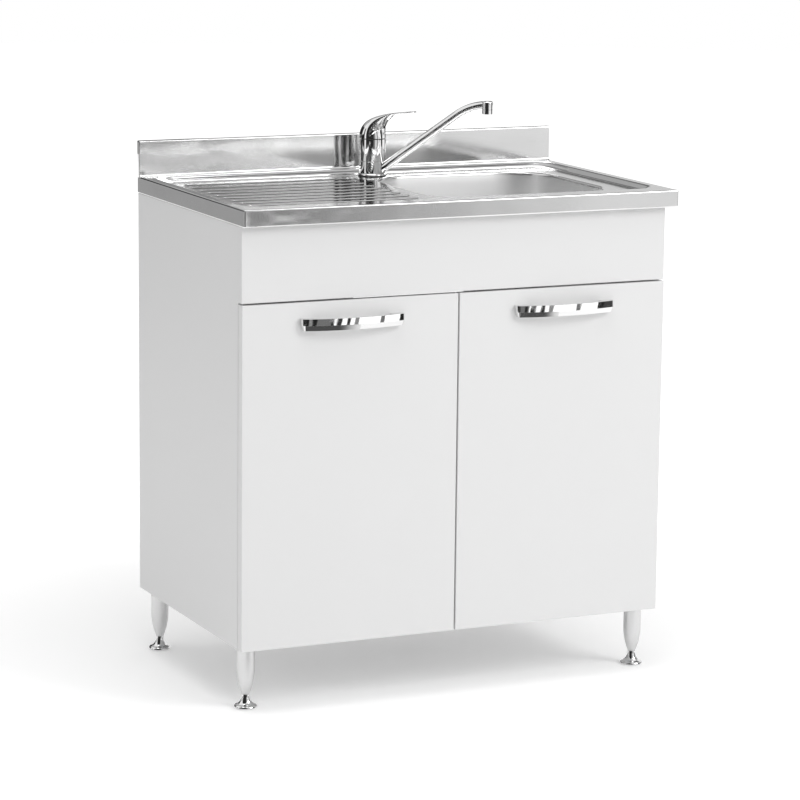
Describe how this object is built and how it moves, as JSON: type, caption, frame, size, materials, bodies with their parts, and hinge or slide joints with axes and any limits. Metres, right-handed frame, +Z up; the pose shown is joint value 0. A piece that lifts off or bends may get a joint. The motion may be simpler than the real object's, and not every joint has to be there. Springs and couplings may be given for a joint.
{
  "type": "kitchen sink unit",
  "caption": "Free-standing kitchen sink unit: two-door base cabinet on turned legs, pressed steel sink with ribbed drainer, bowl and upstand, and a single-lever mixer tap.",
  "frame": {"origin": "on the floor, under the middle of the unit's overall width and depth", "axes": "+X to the right seen from the front, doors face -Y, +Z up"},
  "size_m": [0.8, 0.514, 0.9865],
  "materials": {
    "stainless_steel": "polished pressed stainless sheet",
    "strainer_steel": "polished stainless",
    "white_laminate": "white laminated particle board",
    "hardboard": "white faced hardboard",
    "plain_wood": "planed softwood",
    "zinc_steel": "bright zinc-plated steel",
    "hinge_steel": "nickel-plated pressed steel",
    "leg_aluminium": "satin silver",
    "polished_chrome": "mirror chrome plate",
    "trap_plastic": "white moulded plastic",
    "black_rubber": "moulded rubber",
    "cartridge_plastic": "moulded plastic round ceramic discs",
    "cartridge_brass": "turned brass"
  },
  "bodies": {
    "cabinet": {"angle_brackets": "zinc_steel", "back_panel": "hardboard", "bottom_panel": "white_laminate", "cam_bolts": "zinc_steel", "cam_locks": "zinc_steel", "carcass_dowels": "plain_wood", "cartridge": "cartridge_plastic", "cartridge_nut": "cartridge_brass", "drain_shell": "trap_plastic", "drain_tail": "trap_plastic", "fascia_panel": "white_laminate", "front_rail": "white_laminate", "hinge_arms": "hinge_steel", "hinge_plates": "zinc_steel", "left_side_panel": "white_laminate", "leg_plates": "zinc_steel", "legs": "leg_aluminium", "panel_screws": "zinc_steel", "rear_rail": "white_laminate", "right_side_panel": "white_laminate", "sink_battens": "plain_wood", "sink_bowl": "stainless_steel", "sink_top": "stainless_steel", "strainer_body": "strainer_steel", "strainer_gasket": "black_rubber", "strainer_grid": "strainer_steel", "strainer_screw": "strainer_steel", "tap_base_ring": "polished_chrome", "tap_body": "polished_chrome", "tap_gasket": "black_rubber", "tap_nut": "zinc_steel", "tap_stud": "zinc_steel", "tap_washer": "zinc_steel", "trap_body": "trap_plastic", "trap_cup": "trap_plastic", "trap_nuts": "trap_plastic", "trap_outlet_pipe": "trap_plastic"},
    "left_door": {"left_door": "white_laminate", "left_handle": "polished_chrome", "left_handle_screws": "zinc_steel", "left_hinge_cups": "hinge_steel"},
    "right_door": {"right_door": "white_laminate", "right_handle": "polished_chrome", "right_handle_screws": "zinc_steel", "right_hinge_cups": "hinge_steel"},
    "spout": {"spout": "polished_chrome", "aerator": "polished_chrome"},
    "turret": {"cartridge_turret": "cartridge_plastic", "stem_pin": "zinc_steel"},
    "lever": {"lever": "polished_chrome", "cartridge_stem": "cartridge_plastic", "lever_screw": "zinc_steel"},
    "strainer_basket": {"strainer_basket": "strainer_steel", "basket_floor": "strainer_steel", "basket_knob": "strainer_steel"},
    "foot_front_left": {"foot_front_left": "polished_chrome"},
    "foot_front_right": {"foot_front_right": "polished_chrome"},
    "foot_rear_left": {"foot_rear_left": "polished_chrome"},
    "foot_rear_right": {"foot_rear_right": "polished_chrome"}
  },
  "joints": [
    {"name": "left_door_hinge", "type": "hinge", "parent": "cabinet", "child": "left_door", "pos_m": [-0.3935, -0.226, 0.402], "axis": [0, 0, -1], "range_deg": [0, 95]},
    {"name": "right_door_hinge", "type": "hinge", "parent": "cabinet", "child": "right_door", "pos_m": [0.3765, -0.226, 0.402], "axis": [0, 0, 1], "range_deg": [0, 95]},
    {"name": "spout_swivel", "type": "hinge", "parent": "cabinet", "child": "spout", "pos_m": [0.0185, 0.188, 0.858], "axis": [0, 0, 1], "range_deg": [-141, 65]},
    {"name": "lever_turn", "type": "hinge", "parent": "cabinet", "child": "turret", "pos_m": [0.0185, 0.188, 0.9], "axis": [0, 0, 1], "range_deg": [-50, 50]},
    {"name": "lever_lift", "type": "hinge", "parent": "turret", "child": "lever", "pos_m": [0.0185, 0.188, 0.915], "axis": [-0.788, -0.6157, 0], "range_deg": [0, 24]},
    {"name": "strainer_basket_lift", "type": "slide", "parent": "cabinet", "child": "strainer_basket", "axis": [0, 0, 1], "range_m": [0, 0.06]},
    {"name": "foot_front_left_screw", "type": "slide", "parent": "cabinet", "child": "foot_front_left", "axis": [0, 0, -1], "range_m": [0, 0.015]},
    {"name": "foot_front_right_screw", "type": "slide", "parent": "cabinet", "child": "foot_front_right", "axis": [0, 0, -1], "range_m": [0, 0.015]},
    {"name": "foot_rear_left_screw", "type": "slide", "parent": "cabinet", "child": "foot_rear_left", "axis": [0, 0, -1], "range_m": [0, 0.015]},
    {"name": "foot_rear_right_screw", "type": "slide", "parent": "cabinet", "child": "foot_rear_right", "axis": [0, 0, -1], "range_m": [0, 0.015]}
  ]
}
